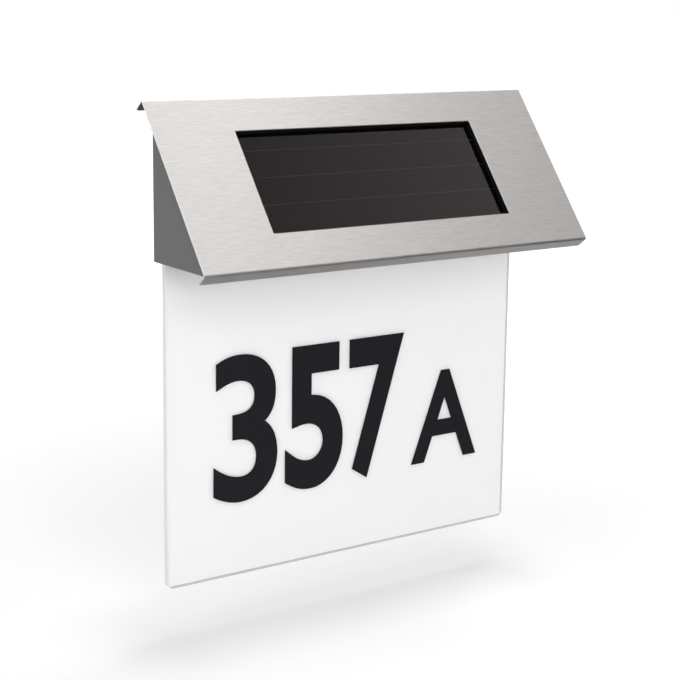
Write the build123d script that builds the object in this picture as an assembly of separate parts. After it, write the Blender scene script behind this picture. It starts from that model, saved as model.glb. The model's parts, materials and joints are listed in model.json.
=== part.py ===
from build123d import *
import math
import os

os.makedirs("parts", exist_ok=True)

# Illuminated house number sign: a solar lamp head under a bent stainless hood, with a frosted
# number plate hanging from a slot in its underside.
# Frame: millimetres, +Z up, the front faces -Y, and the wall is the plane y = 0. The origin is on
# that plane, midway between the round ends of the two hanging holes.
# "Down the slope" is measured on the hood's face from its top edge. "Depth" is measured square to
# that face, from its outside, into the lamp.

# ---------------------------------------------------------------- driving dimensions
# Stainless hood
hood_width = 200.0
face_run = 50.8  # the sloping face, from back to front
face_drop = 65.1  # the sloping face, from top to bottom
sheet = 0.6
top_flange = 7.0
bottom_flange = 7.6
bend_radius = 1.6  # outside of the two bends
flange_corner = 2.0  # rounding of the flanges' free corners
edge_break = 0.25  # the bevel on the outer cut edges
window_side = 37.9  # from the sheet's side edges
window_height = 49.4
window_top = 16.7  # down the slope

# Where the sign hangs
hood_setback = 6.0  # from the wall to the hood's top edge
hang_drop = 30.0  # from the hood's top edge down to the hanging holes

# Front housing, a moulded wedge that is open at the back
tape = 0.4
tape_width = 18.0
tape_inset = 10.0  # from the hood's side edges
housing_gap = 1.25  # from the hood's side edges to the wedge's
housing_drop = 65.6  # from the hood's top edge down to the housing's underside
housing_back = 12.4  # from the wall to the back of the side panels
frame_inset = 5.75  # from the wedge's sides to its frame, behind the side panels
joint_back = 6.0  # from the wall to the joint between the two housings
slope_wall = 1.5
side_wall = 2.0
base_wall = 2.0
rim_wall = 2.0
rim_width = 4.5
rim_top = 6.0  # from the hood's top edge down to the opening in the rim
mould_round = 0.8
hood_play = 0.25  # between the wedge's tip and the hood's lower flange
rib_wall = 1.6
rib_places = (-40.0, 0.0, 40.0)
rib_back = 24.0  # from the wall to the ribs' rear edges
screw_wall = 1.7

# Solar panel
panel_side = 3.4  # beyond the window on each side
panel_above = 7.7  # beyond the window, up the slope
panel_below = 2.9
gasket = 0.4
lip_wall = 1.0  # the gasket's lip, which lines the window
lip_back = 0.1  # from the window's edges to the lip
cover_glass = 1.0
cell_layer = 0.2
panel_base = 1.2
panel_play = 0.3
panel_rib = 1.2
cell_rows = 4
cell_gap = 0.4
cell_side = 1.0  # bare board at the cells' ends
cell_above = 2.55  # bare board over the first row
cell_below = 5.05
clip_length = 30.0  # down the slope
clip_foot = 8.0
clip_wall = 1.5
clip_reach = 3.0  # how far a clip holds the panel's edge
clip_place = 0.55  # of the panel's height

# Rear cover, a pan that closes the back and lies on the wall
pan_inset = 4.0  # from the frame's sides
pan_wall = 2.0
pan_top = 8.0  # from the hood's top edge down to the pan
flange_wall = 2.0
flange_top_gap = 1.2  # from the frame's top edge down to the flange
seal_width = 1.2
seal_depth = 1.0
seal_inset = 0.4  # from the flange's outer edge

# Housing screws, from the wall side
screw_inset = 5.0  # from the pan's sides
screw_rows = (8.0, -14.0)
screw_radius = 1.5
screw_head_radius = 2.8
screw_head = 2.0
screw_length = 12.0
screw_well = 3.2  # how deep the heads are seated
screw_play = 0.1
boss_width = 8.0
boss_length = 11.0

# Hanging holes
hang_inset = 19.0  # from the pan's sides
hang_head_radius = 4.25
hang_slot_radius = 2.25
hang_slot_rise = 7.0
hang_pocket_radius = 4.6
hang_pocket = 4.3  # behind the back wall
pocket_wall = 1.3

# Number plate
plate_inset = 5.95  # from the wedge's sides
plate_thickness = 3.0
plate_bottom = 208.3  # from the hood's top edge down to the plate's bottom edge
plate_setback = 8.9  # from the wall to the plate's back
plate_corner = 3.0
plate_gap = 0.3  # under the housing
tongue_inset = 9.0  # from the frame's sides
tongue_height = 12.2
tongue_corner = 1.0
plate_play = 0.3

# Plate holder with the lamps
holder_wall = 1.5
holder_end = 2.1
holder_top = 13.56  # above the housing's base wall
ear_width = 8.0
ear_rise = 7.5
ear_inset = 34.0  # from the tongue's ends
ear_screw_rise = 4.5
small_screw_radius = 1.0
small_screw_head_radius = 2.0
small_screw_head = 1.4
small_screw_length = 6.0
post_width = 5.6
pad_width = 20.0
pad_height = 7.0
pad_inset = 18.0  # from the tongue's ends
pad_depth = 1.0  # let into the holder
pad_proud = 0.2
led_count = 4
led_inset = 24.0  # from the tongue's ends
led_size = (3.5, 2.8, 1.9)
led_window_play = 0.35
led_board_inset = 10.0  # from the tongue's ends
led_board_width = 4.7
board = 1.6
stake_width = 1.5
stake_inset = 4.0  # from the board's ends
stake_proud = 0.5
stake_play = 0.1

# Battery and its box in the rear cover
cell_radius = 7.25
cell_length = 50.5
cell_nub_radius = 2.75
cell_nub = 1.6
cell_bevel = 0.6
cell_play = 0.4
cell_under_lid = 0.6
battery_inset = 55.0  # from the pan's side to the battery's middle
battery_z = -1.5
spring_room = 4.1
contact = 0.4
contact_size = 10.0
box_wall = 1.5
lid = 1.6
lid_sunk = 0.4
lid_ledge = 2.6
lid_corner = 1.5
lid_play = 0.25
lid_seal = 0.8
lid_seat = 1.8
lid_ear_half = 3.3
lid_ear_out = 3.1
lid_screw_radius = 1.25
lid_screw_head_radius = 2.3
lid_screw_head = 1.0
lid_screw_length = 6.0

# Control board
control_size = (40.0, 20.0)
control_inset = 51.0  # from the pan's side to the board's middle
control_z = -2.0
control_post = 6.0
control_hole_inset = 3.5
control_screw_length = 5.0
socket_count = 4
socket_size = (5.5, 5.0, 5.0)
socket_pitch = 7.0
socket_row = -6.0  # from the board's middle
parts_row = 4.0
store_radius = 3.0
store_rise = 6.0
chip_size = (5.0, 4.0, 1.6)

# Slide switch in the underside
switch_inset = 29.0  # from the pan's side
switch_y = 26.0  # from the wall
switch_size = (14.0, 8.0, 5.5)
switch_travel = 4.0
knob_size = (4.0, 3.4)
knob_proud = 1.5
knob_flange = (5.2, 5.0, 0.9)
switch_play = 0.3

near = 0.01  # how close an edge has to be to be picked
past = 1.0  # how far a cut runs past the face that it opens, or a post into its wall

# ---------------------------------------------------------------- worked-out places
slope = math.atan2(face_drop, face_run)
face_length = math.hypot(face_run, face_drop)
base_z = hang_drop - housing_drop
floor_z = base_z + base_wall
wedge_y = -housing_back
joint_y = -joint_back
half_housing = hood_width / 2 - housing_gap
half_frame = half_housing - frame_inset
half_pan = half_frame - pan_inset
screw_across = 2 * (half_pan - screw_inset)
plate_width = 2 * (half_housing - plate_inset)
tongue_width = 2 * (half_frame - tongue_inset)
half_tongue = tongue_width / 2
hang_spacing = 2 * (half_pan - hang_inset)
battery_x = half_pan - battery_inset
control_x = control_inset - half_pan
switch_x = switch_inset - half_pan
ear_places = (ear_inset - half_tongue, half_tongue - ear_inset)
pad_places = (pad_inset - half_tongue, half_tongue - pad_inset)
led_pitch = 2 * (half_tongue - led_inset) / (led_count - 1)
led_board_length = 2 * (half_tongue - led_board_inset)
stake_place = led_board_length / 2 - stake_inset
rim_half = half_frame - rim_width
rim_top_z = hang_drop - rim_top
pan_top_z = hang_drop - pan_top
cover_depth = sheet + tape
inner_depth = cover_depth + slope_wall
glass_depth = inner_depth + gasket
cell_depth = glass_depth + cover_glass
base_depth = cell_depth + cell_layer
panel_depth = base_depth + panel_base
window_width = hood_width - 2 * window_side
panel_width = window_width + 2 * panel_side
panel_height = window_height + panel_above + panel_below
panel_top = window_top - panel_above
cell_pitch = (panel_height - cell_above - cell_below) / cell_rows
plate_back = -plate_setback
plate_front = plate_back - plate_thickness
plate_shoulder = base_z - plate_gap
plate_middle_y = (plate_back + plate_front) / 2
holder_half = half_tongue + plate_play + holder_end
holder_front = plate_front - plate_play - holder_wall
holder_back = plate_back + plate_play + holder_wall
holder_top_z = floor_z + holder_top
led_board_top = holder_top_z + board
ear_screw_z = holder_top_z + ear_screw_rise
cell_room = cell_length + contact + spring_room
cell_y = -(lid_sunk + lid + cell_under_lid + cell_radius)
box_radius = cell_radius + cell_play
lid_inner = -(lid_sunk + lid)
lid_half = (cell_room / 2 + lid_ledge, box_radius + lid_ledge)
lid_screw_z = (battery_z + lid_half[1] + lid_ear_out, battery_z - lid_half[1] - lid_ear_out)

# The hood's face: x to the right, y up the slope, z out of the face
face_plane = Plane(
    origin=(0, -hood_setback, hang_drop),
    x_dir=(1, 0, 0),
    z_dir=(0, -math.sin(slope), math.cos(slope)),
)
# A cut across it: x up the slope, y out of the face, z to the right
section_plane = Plane(
    origin=(0, -hood_setback, hang_drop),
    x_dir=(0, math.cos(slope), math.sin(slope)),
    z_dir=(1, 0, 0),
)


# ---------------------------------------------------------------- helpers
def block(x, y, z):
    """Box between two values on each axis."""
    size = [abs(high - low) for low, high in (x, y, z)]
    middle = [(low + high) / 2 for low, high in (x, y, z)]
    return Pos(*middle) * Box(*size)


def around(middle, width):
    """Two values, half a width to each side of a middle."""
    return (middle - width / 2, middle + width / 2)


def on_slope(sketch, depth, thickness):
    """A sketch on the sloping face, sunk to a depth and made that thick inward."""
    raised = extrude(sketch, amount=-thickness)
    return face_plane * Pos(Z=-depth) * raised


def slope_rectangle(width, top, height, x=0.0, corner=0.0):
    """Rectangle on the sloping face, a distance down the slope."""
    shape = RectangleRounded(width, height, corner) if corner else Rectangle(width, height)
    return Pos(x, -top - height / 2) * shape


def window_outline(grow):
    """The hood's window on the sloping face, grown by a margin."""
    return slope_rectangle(window_width + 2 * grow, window_top - grow, window_height + 2 * grow)


def slope_z(y, depth):
    """Height of the plane at a depth under the sloping face, at a y."""
    down = (-hood_setback - y + depth * math.sin(slope)) / math.cos(slope)
    return hang_drop - down * math.sin(slope) - depth * math.cos(slope)


def slope_y(z, depth):
    """The y of the plane at a depth under the sloping face, at a height."""
    down = (hang_drop - z - depth * math.cos(slope)) / math.sin(slope)
    return -hood_setback - down * math.cos(slope) + depth * math.sin(slope)


def wedge(back, base, depth, behind=None):
    """Outline, as (y, z) points, between the slope at a depth, a base height and a back.
    With a second back, the stretch between the two backs instead."""
    if behind is None:
        return [(back, base), (slope_y(base, depth), base), (back, slope_z(back, depth))]
    return [(back, base), (back, slope_z(back, depth)), (behind, slope_z(behind, depth)), (behind, base)]


def prism(points, half_width, x=0.0):
    """Outline of (y, z) points, as wide to each side of x as said."""
    outline = Plane.YZ * Polygon(*points, align=None)
    return Pos(X=x - half_width) * extrude(outline, amount=2 * half_width, dir=(1, 0, 0))


def from_wall(sketch, y_back, y_front):
    """A sketch of (x, z), between two distances from the wall."""
    return extrude(Plane.XZ.offset(-y_back) * sketch, amount=y_back - y_front, dir=(0, -1, 0))


def rod(x, z, radius, y_back, y_front):
    """Round bar square to the wall."""
    return from_wall(Pos(x, z) * Circle(radius), y_back, y_front)


def post(x, z, width, y_back, y_front):
    """Square bar, square to the wall."""
    return from_wall(Pos(x, z) * Rectangle(width, width), y_back, y_front)


def pan_screw(x, z, seat_y, radius, head_radius, head, length):
    """Screw that points away from the wall, its head's underside at seat_y."""
    return rod(x, z, head_radius, seat_y + head, seat_y) + rod(x, z, radius, seat_y, seat_y - length)


def small_screw(x, z, seat_y, length):
    """Small screw that points at the wall, its head's underside at seat_y."""
    head = rod(x, z, small_screw_head_radius, seat_y, seat_y - small_screw_head)
    return head + rod(x, z, small_screw_radius, seat_y + length, seat_y)


def stadium(x, z, radius, rise):
    """Round-ended upright outline that starts round (x, z)."""
    outline = Circle(radius) + Pos(0, rise / 2) * Rectangle(2 * radius, rise) + Pos(0, rise) * Circle(radius)
    return Pos(x, z) * outline


# ---------------------------------------------------------------- hood
def make_hood_cover():
    outline = Polygon(
        (0, -top_flange),
        (0, 0),
        (-face_length, 0),
        (-face_length, -bottom_flange),
        (-face_length + sheet, -bottom_flange),
        (-face_length + sheet, -sheet),
        (-sheet, -sheet),
        (-sheet, -top_flange),
        align=None,
    )
    for x, y, radius in (
        (0, 0, bend_radius),
        (-face_length, 0, bend_radius),
        (-face_length + sheet, -sheet, bend_radius - sheet),
        (-sheet, -sheet, bend_radius - sheet),
    ):
        corner = outline.vertices().sort_by_distance((x, y))[0]
        outline = fillet(corner, radius)
    channel = extrude(outline, amount=hood_width)
    tips = [edge for edge in channel.edges().filter_by(Axis.X) if edge.length < 2 * sheet]
    channel = fillet(tips, flange_corner)
    window = block(
        (-window_top - window_height, -window_top),
        (-2 * sheet, sheet),
        around(hood_width / 2, window_width),
    )
    cover = channel - window
    outer = cover.faces().sort_by(Axis.Y)[-1]
    long_edges = [edge for edge in outer.edges() if edge.length < hood_width - sheet]
    cover = chamfer(long_edges, edge_break)
    return section_plane * Pos(Z=-hood_width / 2) * cover


def make_hood_tape():
    x = hood_width / 2 - tape_inset - tape_width / 2
    length = face_length - 2 * (window_top - bend_radius)
    strips = [slope_rectangle(tape_width, window_top - bend_radius, length, side * x) for side in (-1, 1)]
    return [on_slope(strip, sheet, tape) for strip in strips]


# ---------------------------------------------------------------- front housing
def clip_places():
    """Where the panel's two clips cross its ring, as (x, distance down the slope)."""
    x = panel_width / 2 + panel_play + panel_rib / 2
    return [(side * x, panel_top + clip_place * panel_height) for side in (-1, 1)]


def make_front_housing():
    tip = -face_length + sheet + hood_play
    tip_top = (
        -hood_setback + tip * math.cos(slope) + cover_depth * math.sin(slope),
        hang_drop + tip * math.sin(slope) - cover_depth * math.cos(slope),
    )
    tip_low = (tip_top[0] + (tip_top[1] - base_z) / math.tan(math.pi / 2 - slope), base_z)
    wedge_top = (wedge_y, slope_z(wedge_y, cover_depth))
    shell = prism([(wedge_y, base_z), tip_low, tip_top, wedge_top], half_housing)
    sides = [
        edge
        for edge in shell.edges()
        if abs(abs(edge.center().X) - half_housing) < near
        and (abs(edge.center().Z - base_z) < near or abs(edge.center().Y - wedge_y) < near)
    ]
    shell = fillet(sides, mould_round)
    inside_y = wedge_y - rim_wall
    shell += prism(wedge(inside_y, base_z, cover_depth, joint_y), half_frame)
    shell -= prism(wedge(inside_y, floor_z, inner_depth), half_housing - side_wall)
    shell -= prism(wedge(joint_y - rim_wall, floor_z, inner_depth), half_frame - side_wall)
    shell -= block((-rim_half, rim_half), (joint_y - 2 * rim_wall, joint_y + past), (floor_z, rim_top_z))
    shell -= on_slope(window_outline(lip_back + lip_wall), sheet, slope_wall + 2 * tape)

    ring = slope_rectangle(
        panel_width + 2 * (panel_play + panel_rib),
        panel_top - panel_play - panel_rib,
        panel_height + 2 * (panel_play + panel_rib),
    ) - slope_rectangle(panel_width + 2 * panel_play, panel_top - panel_play, panel_height + 2 * panel_play)
    inside = prism(wedge(joint_y, floor_z, inner_depth), half_frame)
    shell += on_slope(ring, inner_depth, panel_depth - inner_depth) & inside
    for x, down in clip_places():
        place = Pos(x + math.copysign(clip_foot / 2, x), -down)
        shell += on_slope(place * Rectangle(clip_foot, clip_length), inner_depth, panel_depth - inner_depth)
        hole = place * Circle(small_screw_radius + screw_play)
        shell -= on_slope(hole, inner_depth + gasket, panel_depth)
    for x in rib_places:
        shell += prism(wedge(-rib_back, floor_z, panel_depth + panel_play), rib_wall / 2, x)
    boss_y = joint_y - boss_length
    for side in (-1, 1):
        x = side * screw_across / 2
        for z in screw_rows:
            web = block((x, side * (half_frame - side_wall / 2)), (wedge_y, joint_y), around(z, screw_wall))
            shell += post(x, z, boss_width, joint_y, boss_y) + web
            shell -= rod(x, z, screw_radius + screw_play, joint_y + past, joint_y - screw_length)
    slot_half = half_tongue + plate_play
    shell -= block(
        (-slot_half, slot_half),
        (plate_front - plate_play, plate_back + plate_play),
        (base_z - past, floor_z + past),
    )
    slot = (knob_size[0] + switch_travel + 2 * switch_play, knob_size[1] + 2 * switch_play)
    shell -= block(
        around(switch_x, slot[0]),
        around(-switch_y, slot[1]),
        (base_z - past, floor_z + past),
    )
    return shell


# ---------------------------------------------------------------- solar panel
def panel_outline():
    return slope_rectangle(panel_width, panel_top, panel_height)


def make_panel_gasket():
    seat = on_slope(panel_outline() - window_outline(lip_back), inner_depth, gasket)
    lip = window_outline(lip_back + lip_wall) - window_outline(lip_back)
    return seat + on_slope(lip, sheet, inner_depth - sheet)


def make_solar_cover_glass():
    return on_slope(panel_outline(), glass_depth, cover_glass)


def make_solar_cells():
    cells = []
    for row in range(cell_rows):
        top = panel_top + cell_above + row * cell_pitch + cell_gap / 2
        cell = slope_rectangle(panel_width - 2 * cell_side, top, cell_pitch - cell_gap)
        cells.append(on_slope(cell, cell_depth, cell_layer))
    return cells


def make_solar_panel_base():
    return on_slope(panel_outline(), base_depth, panel_base)


def make_panel_clips():
    clips = []
    for x, down in clip_places():
        width = clip_foot + clip_reach + panel_play
        middle = x + math.copysign(width / 2 - clip_reach - panel_play, x)
        hole = Pos(x + math.copysign(clip_foot / 2, x), -down) * Circle(small_screw_radius + screw_play)
        outline = Pos(middle, -down) * Rectangle(width, clip_length) - hole
        clips.append(on_slope(outline, panel_depth, clip_wall))
    return clips


def make_panel_clip_screws():
    screws = []
    for x, down in clip_places():
        place = Pos(x + math.copysign(clip_foot / 2, x), -down)
        head = on_slope(place * Circle(small_screw_head_radius), panel_depth + clip_wall, small_screw_head)
        tip_depth = inner_depth + gasket
        shank = on_slope(place * Circle(small_screw_radius), tip_depth, panel_depth + clip_wall - tip_depth)
        screws.append(head + shank)
    return screws


# ---------------------------------------------------------------- rear cover
def lid_outline(grow):
    """Outline of the battery lid with its two screw ears, grown by a margin."""
    middle = Pos(battery_x, battery_z)
    outline = middle * cut_rectangle(2 * (lid_half[0] + grow), 2 * (lid_half[1] + grow), lid_corner)
    for z in lid_screw_z:
        width = 2 * (lid_ear_half + grow)
        neck = block_sketch(around(battery_x, width), (battery_z, z))
        outline += Pos(battery_x, z) * cut_rectangle(width, width, lid_corner) + neck
    return outline


def cut_rectangle(width, height, cut):
    """Rectangle with its corners cut off."""
    return chamfer(Rectangle(width, height).vertices(), cut)


def block_sketch(x, z):
    """Rectangle between two values on each axis."""
    middle = ((x[0] + x[1]) / 2, (z[0] + z[1]) / 2)
    return Pos(*middle) * Rectangle(abs(x[1] - x[0]), abs(z[1] - z[0]))


def make_rear_cover():
    pan = from_wall(block_sketch((-half_pan, half_pan), (base_z, pan_top_z)), 0, joint_y)
    corners = [edge for edge in pan.edges().filter_by(Axis.Y) if abs(edge.center().Z - pan_top_z) < near]
    pan = fillet(corners, 2 * mould_round)
    pan += from_wall(flange_outline(), joint_y + flange_wall, joint_y)
    inner = block_sketch((-half_pan + pan_wall, half_pan - pan_wall), (floor_z, pan_top_z - pan_wall))
    pan -= from_wall(inner, -pan_wall, joint_y - past)
    pan -= from_wall(seal_outline(), joint_y + seal_depth, joint_y - past)

    for side in (-1, 1):
        for z in screw_rows:
            pan += post(side * screw_across / 2, z, boss_width, 0, joint_y)
        x = side * hang_spacing / 2
        cup = stadium(x, 0, hang_pocket_radius + pocket_wall, hang_slot_rise)
        pocket = stadium(x, 0, hang_pocket_radius, hang_slot_rise)
        pan += from_wall(cup, -pan_wall, -pan_wall - hang_pocket - pocket_wall)
        pan -= from_wall(pocket, -pan_wall, -pan_wall - hang_pocket)
        keyhole = Pos(x, 0) * Circle(hang_head_radius) + stadium(x, 0, hang_slot_radius, hang_slot_rise)
        pan -= from_wall(keyhole, past, -pan_wall)

    middle = Pos(battery_x, battery_z)
    pan += from_wall(lid_outline(lid_play + box_wall), -past, lid_inner - lid_seal - lid_seat)
    box_half = (cell_room / 2, box_radius)
    outer = middle * Rectangle(2 * (box_half[0] + box_wall), 2 * (box_half[1] + box_wall))
    pan += from_wall(outer, -past, cell_y)
    across = Pos(battery_x, cell_y, battery_z) * Rot(Y=90)
    pan += across * Cylinder(box_radius + box_wall, 2 * (box_half[0] + box_wall))
    for z in lid_screw_z:
        pan += post(battery_x, z, post_width, -past, lid_inner - lid_screw_length)
    pan -= from_wall(lid_outline(lid_play), past, lid_inner)
    seat = middle * cut_rectangle(2 * (lid_half[0] + lid_play), 2 * (lid_half[1] + lid_play), lid_corner)
    pan -= from_wall(seat, past, lid_inner - lid_seal)
    pan -= from_wall(middle * Rectangle(2 * box_half[0], 2 * box_half[1]), past, cell_y)
    pan -= across * Cylinder(box_radius, 2 * box_half[0])
    lid_hole_end = lid_inner - lid_screw_length + box_wall / 2
    for z in lid_screw_z:
        pan -= rod(battery_x, z, lid_screw_radius + screw_play, past, lid_hole_end)

    for x in ear_places:
        pan += post(x, ear_screw_z, post_width, -past, holder_back)
        pan -= rod(x, ear_screw_z, small_screw_radius + screw_play, -pan_wall, holder_back - past)
    for x, z in control_holes():
        pan += post(x, z, post_width, -past, -pan_wall - control_post)
        pan -= rod(x, z, small_screw_radius + screw_play, -pan_wall, -pan_wall - control_post - past)
    for side in (-1, 1):
        for z in screw_rows:
            x = side * screw_across / 2
            pan -= rod(x, z, screw_head_radius + 2 * screw_play, past, -screw_well)
            pan -= rod(x, z, screw_radius + screw_play, past, joint_y - past)
    return pan


def flange_outline(inset=0.0):
    """The rear cover's outline at the joint, or one inside it."""
    top = slope_z(joint_y, cover_depth) - flange_top_gap
    return block_sketch((-half_frame + inset, half_frame - inset), (base_z + inset, top - inset))


def seal_outline():
    return flange_outline(seal_inset) - flange_outline(seal_inset + seal_width)


def make_housing_seal():
    return from_wall(seal_outline(), joint_y + seal_depth, joint_y)


def make_housing_screws():
    return [
        pan_screw(
            side * screw_across / 2, z, -screw_well, screw_radius, screw_head_radius, screw_head, screw_length
        )
        for side in (-1, 1)
        for z in screw_rows
    ]


# ---------------------------------------------------------------- number plate
def make_number_plate():
    bottom = hang_drop - plate_bottom
    half = plate_width / 2
    sheet_outline = block_sketch((-half, half), (bottom, plate_shoulder))
    low = [v for v in sheet_outline.vertices() if abs(v.Y - bottom) < near]
    sheet_outline = fillet(low, plate_corner)
    tongue = block_sketch(around(0, tongue_width), (plate_shoulder - past, plate_shoulder + tongue_height))
    high = [v for v in tongue.vertices() if v.Y > plate_shoulder]
    tongue = chamfer(high, tongue_corner)
    return from_wall(sheet_outline + tongue, plate_back, plate_front)


# ---------------------------------------------------------------- plate holder and lamps
def led_places():
    return [(index - (led_count - 1) / 2) * led_pitch for index in range(led_count)]


def make_plate_holder():
    inner = (plate_front - plate_play, plate_back + plate_play)
    half = holder_half - holder_end
    holder = block((-holder_half, holder_half), (holder_front, holder_back), (floor_z, holder_top_z))
    holder -= block((-half, half), inner, (floor_z - past, holder_top_z - holder_wall))
    for x in ear_places:
        ear = block_sketch(around(x, ear_width), (holder_top_z - past, holder_top_z + ear_rise))
        top = [v for v in ear.vertices() if v.Y > holder_top_z]
        holder += from_wall(chamfer(top, ear_width / 4), holder_back, holder_back - holder_wall)
        holder -= rod(x, ear_screw_z, small_screw_radius + screw_play, holder_back + past, inner[1] - past)
    for x in led_places():
        holder -= block(
            around(x, led_size[0] + 2 * led_window_play),
            around(plate_middle_y, led_size[1] + 2 * led_window_play),
            (holder_top_z - 2 * holder_wall, holder_top_z + past),
        )
    for x in pad_places:
        holder -= pad_block(x, inner[1] + pad_depth, inner[1] - past)
    stake_y = led_board_middle()
    for side in (-1, 1):
        holder += block(
            around(side * stake_place, stake_width),
            around(stake_y, stake_width),
            (holder_top_z - holder_wall / 2, led_board_top + stake_proud),
        )
    return holder


def pad_block(x, y_back, y_front):
    middle = (floor_z + holder_top_z - holder_wall) / 2
    return block(around(x, pad_width), (y_back, y_front), around(middle, pad_height))


def make_plate_pads():
    back = plate_back + plate_play + pad_depth
    front = plate_back + plate_play - pad_proud
    return [pad_block(x, back, front) for x in pad_places]


def led_board_middle():
    return plate_back + plate_play - screw_play * 3 - led_board_width / 2


def make_led_board():
    middle = led_board_middle()
    strip = block(
        around(0, led_board_length), around(middle, led_board_width), (holder_top_z, led_board_top)
    )
    for side in (-1, 1):
        strip -= block(
            around(side * stake_place, stake_width + 2 * stake_play),
            around(middle, stake_width + 2 * stake_play),
            (holder_top_z - past, led_board_top + past),
        )
    return strip


def make_leds():
    width, depth, height = led_size
    return [
        block(around(x, width), around(plate_middle_y, depth), (holder_top_z - height, holder_top_z))
        for x in led_places()
    ]


def make_holder_screws():
    seat = holder_back - holder_wall
    return [small_screw(x, ear_screw_z, seat, small_screw_length) for x in ear_places]


# ---------------------------------------------------------------- battery
def make_battery_cell():
    end = battery_x + cell_room / 2 - contact
    body = cell_length - cell_nub
    can = Pos(end - cell_nub - body / 2, cell_y, battery_z) * Rot(Y=90) * Cylinder(cell_radius, body)
    can = chamfer(can.edges().filter_by(GeomType.CIRCLE), cell_bevel)
    nub = Pos(end - cell_nub / 2, cell_y, battery_z) * Rot(Y=90) * Cylinder(cell_nub_radius, cell_nub)
    return can + nub


def make_battery_contact_plate():
    end = battery_x + cell_room / 2
    return block((end - contact, end), around(cell_y, contact_size), around(battery_z, contact_size))


def make_battery_contact_spring():
    start = battery_x - cell_room / 2
    seat = block((start, start + contact), around(cell_y, contact_size), around(battery_z, contact_size))
    rise = spring_room - contact - screw_play
    chord = 0.9 * contact_size
    radius = chord * chord / (8 * rise) + rise / 2
    middle = start + contact + rise - radius
    bow = Circle(radius) - Circle(radius - contact)
    strip = extrude(Plane.XZ * bow, amount=contact_size / 4, both=True)
    strip = Pos(middle, cell_y, battery_z) * strip
    kept = (start + contact / 2, start + contact + rise)
    return seat + (strip & block(kept, around(cell_y, contact_size), around(battery_z, 2 * radius)))


def make_battery_lid():
    cover = from_wall(lid_outline(0), -lid_sunk, lid_inner)
    for z in lid_screw_z:
        cover -= rod(battery_x, z, lid_screw_radius + screw_play, past, lid_inner - past)
        cover -= rod(battery_x, z, lid_screw_head_radius + screw_play, past, -lid_sunk - lid_screw_head)
    return cover


def make_battery_lid_seal():
    middle = Pos(battery_x, battery_z)
    outer = middle * cut_rectangle(2 * (lid_half[0] - lid_play), 2 * (lid_half[1] - lid_play), lid_corner)
    inner = middle * Rectangle(cell_room + 2 * lid_play, 2 * (box_radius + lid_play))
    return from_wall(outer - inner, lid_inner, lid_inner - lid_seal + lid_play)


def make_battery_lid_screws():
    seat = -lid_sunk - lid_screw_head
    length = lid_screw_length - box_wall
    return [
        pan_screw(battery_x, z, seat, lid_screw_radius, lid_screw_head_radius, lid_screw_head, length)
        for z in lid_screw_z
    ]


# ---------------------------------------------------------------- control board
def control_holes():
    """The board's two screw holes, in opposite corners."""
    x = control_size[0] / 2 - control_hole_inset
    z = control_size[1] / 2 - control_hole_inset
    return [(control_x - x, control_z + z), (control_x + x, control_z - z)]


def make_control_board():
    seat = -pan_wall - control_post
    outline = Pos(control_x, control_z) * Rectangle(*control_size)
    for x, z in control_holes():
        outline -= Pos(x, z) * Circle(small_screw_radius + screw_play)
    return from_wall(outline, seat, seat - board)


def make_control_board_screws():
    seat = -pan_wall - control_post - board
    return [small_screw(x, z, seat, control_screw_length) for x, z in control_holes()]


def make_board_components():
    face = -pan_wall - control_post - board

    def brick(x, z, size):
        width, height, rise = size
        return from_wall(Pos(control_x + x, control_z + z) * Rectangle(width, height), face, face - rise)

    places = [(index - (socket_count - 1) / 2) * socket_pitch for index in range(socket_count)]
    sockets = [brick(x, socket_row, socket_size) for x in places]
    store = rod(control_x - socket_pitch, control_z + parts_row, store_radius, face, face - store_rise)
    return sockets + [store, brick(socket_pitch, parts_row, chip_size)]


# ---------------------------------------------------------------- slide switch
def make_switch_body():
    length, width, height = switch_size
    body = block(around(switch_x, length), around(-switch_y, width), (floor_z, floor_z + height))
    groove = (knob_flange[0] + switch_travel + 2 * switch_play, knob_flange[1] + 2 * switch_play)
    body -= block(
        around(switch_x, groove[0]),
        around(-switch_y, groove[1]),
        (floor_z - past, floor_z + knob_flange[2] + 2 * switch_play),
    )
    return body


def make_switch_slider():
    x = switch_x - switch_travel / 2
    flange_low = floor_z + switch_play
    width, depth, height = knob_flange
    flange = block(around(x, width), around(-switch_y, depth), (flange_low, flange_low + height))
    knob = block(around(x, knob_size[0]), around(-switch_y, knob_size[1]), (base_z - knob_proud, flange_low))
    low = [edge for edge in knob.edges() if abs(edge.center().Z - base_z + knob_proud) < near]
    return flange + fillet(low, mould_round / 2)


# ---------------------------------------------------------------- write one file per node
makers = {
    "hood_cover": make_hood_cover,
    "hood_tape": make_hood_tape,
    "front_housing": make_front_housing,
    "panel_gasket": make_panel_gasket,
    "solar_cover_glass": make_solar_cover_glass,
    "solar_cells": make_solar_cells,
    "solar_panel_base": make_solar_panel_base,
    "panel_clips": make_panel_clips,
    "panel_clip_screws": make_panel_clip_screws,
    "rear_cover": make_rear_cover,
    "housing_seal": make_housing_seal,
    "housing_screws": make_housing_screws,
    "number_plate": make_number_plate,
    "plate_holder": make_plate_holder,
    "plate_pads": make_plate_pads,
    "led_board": make_led_board,
    "leds": make_leds,
    "holder_screws": make_holder_screws,
    "battery_cell": make_battery_cell,
    "battery_contact_plate": make_battery_contact_plate,
    "battery_contact_spring": make_battery_contact_spring,
    "battery_lid": make_battery_lid,
    "battery_lid_seal": make_battery_lid_seal,
    "battery_lid_screws": make_battery_lid_screws,
    "control_board": make_control_board,
    "control_board_screws": make_control_board_screws,
    "board_components": make_board_components,
    "switch_body": make_switch_body,
    "switch_slider": make_switch_slider,
}

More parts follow.
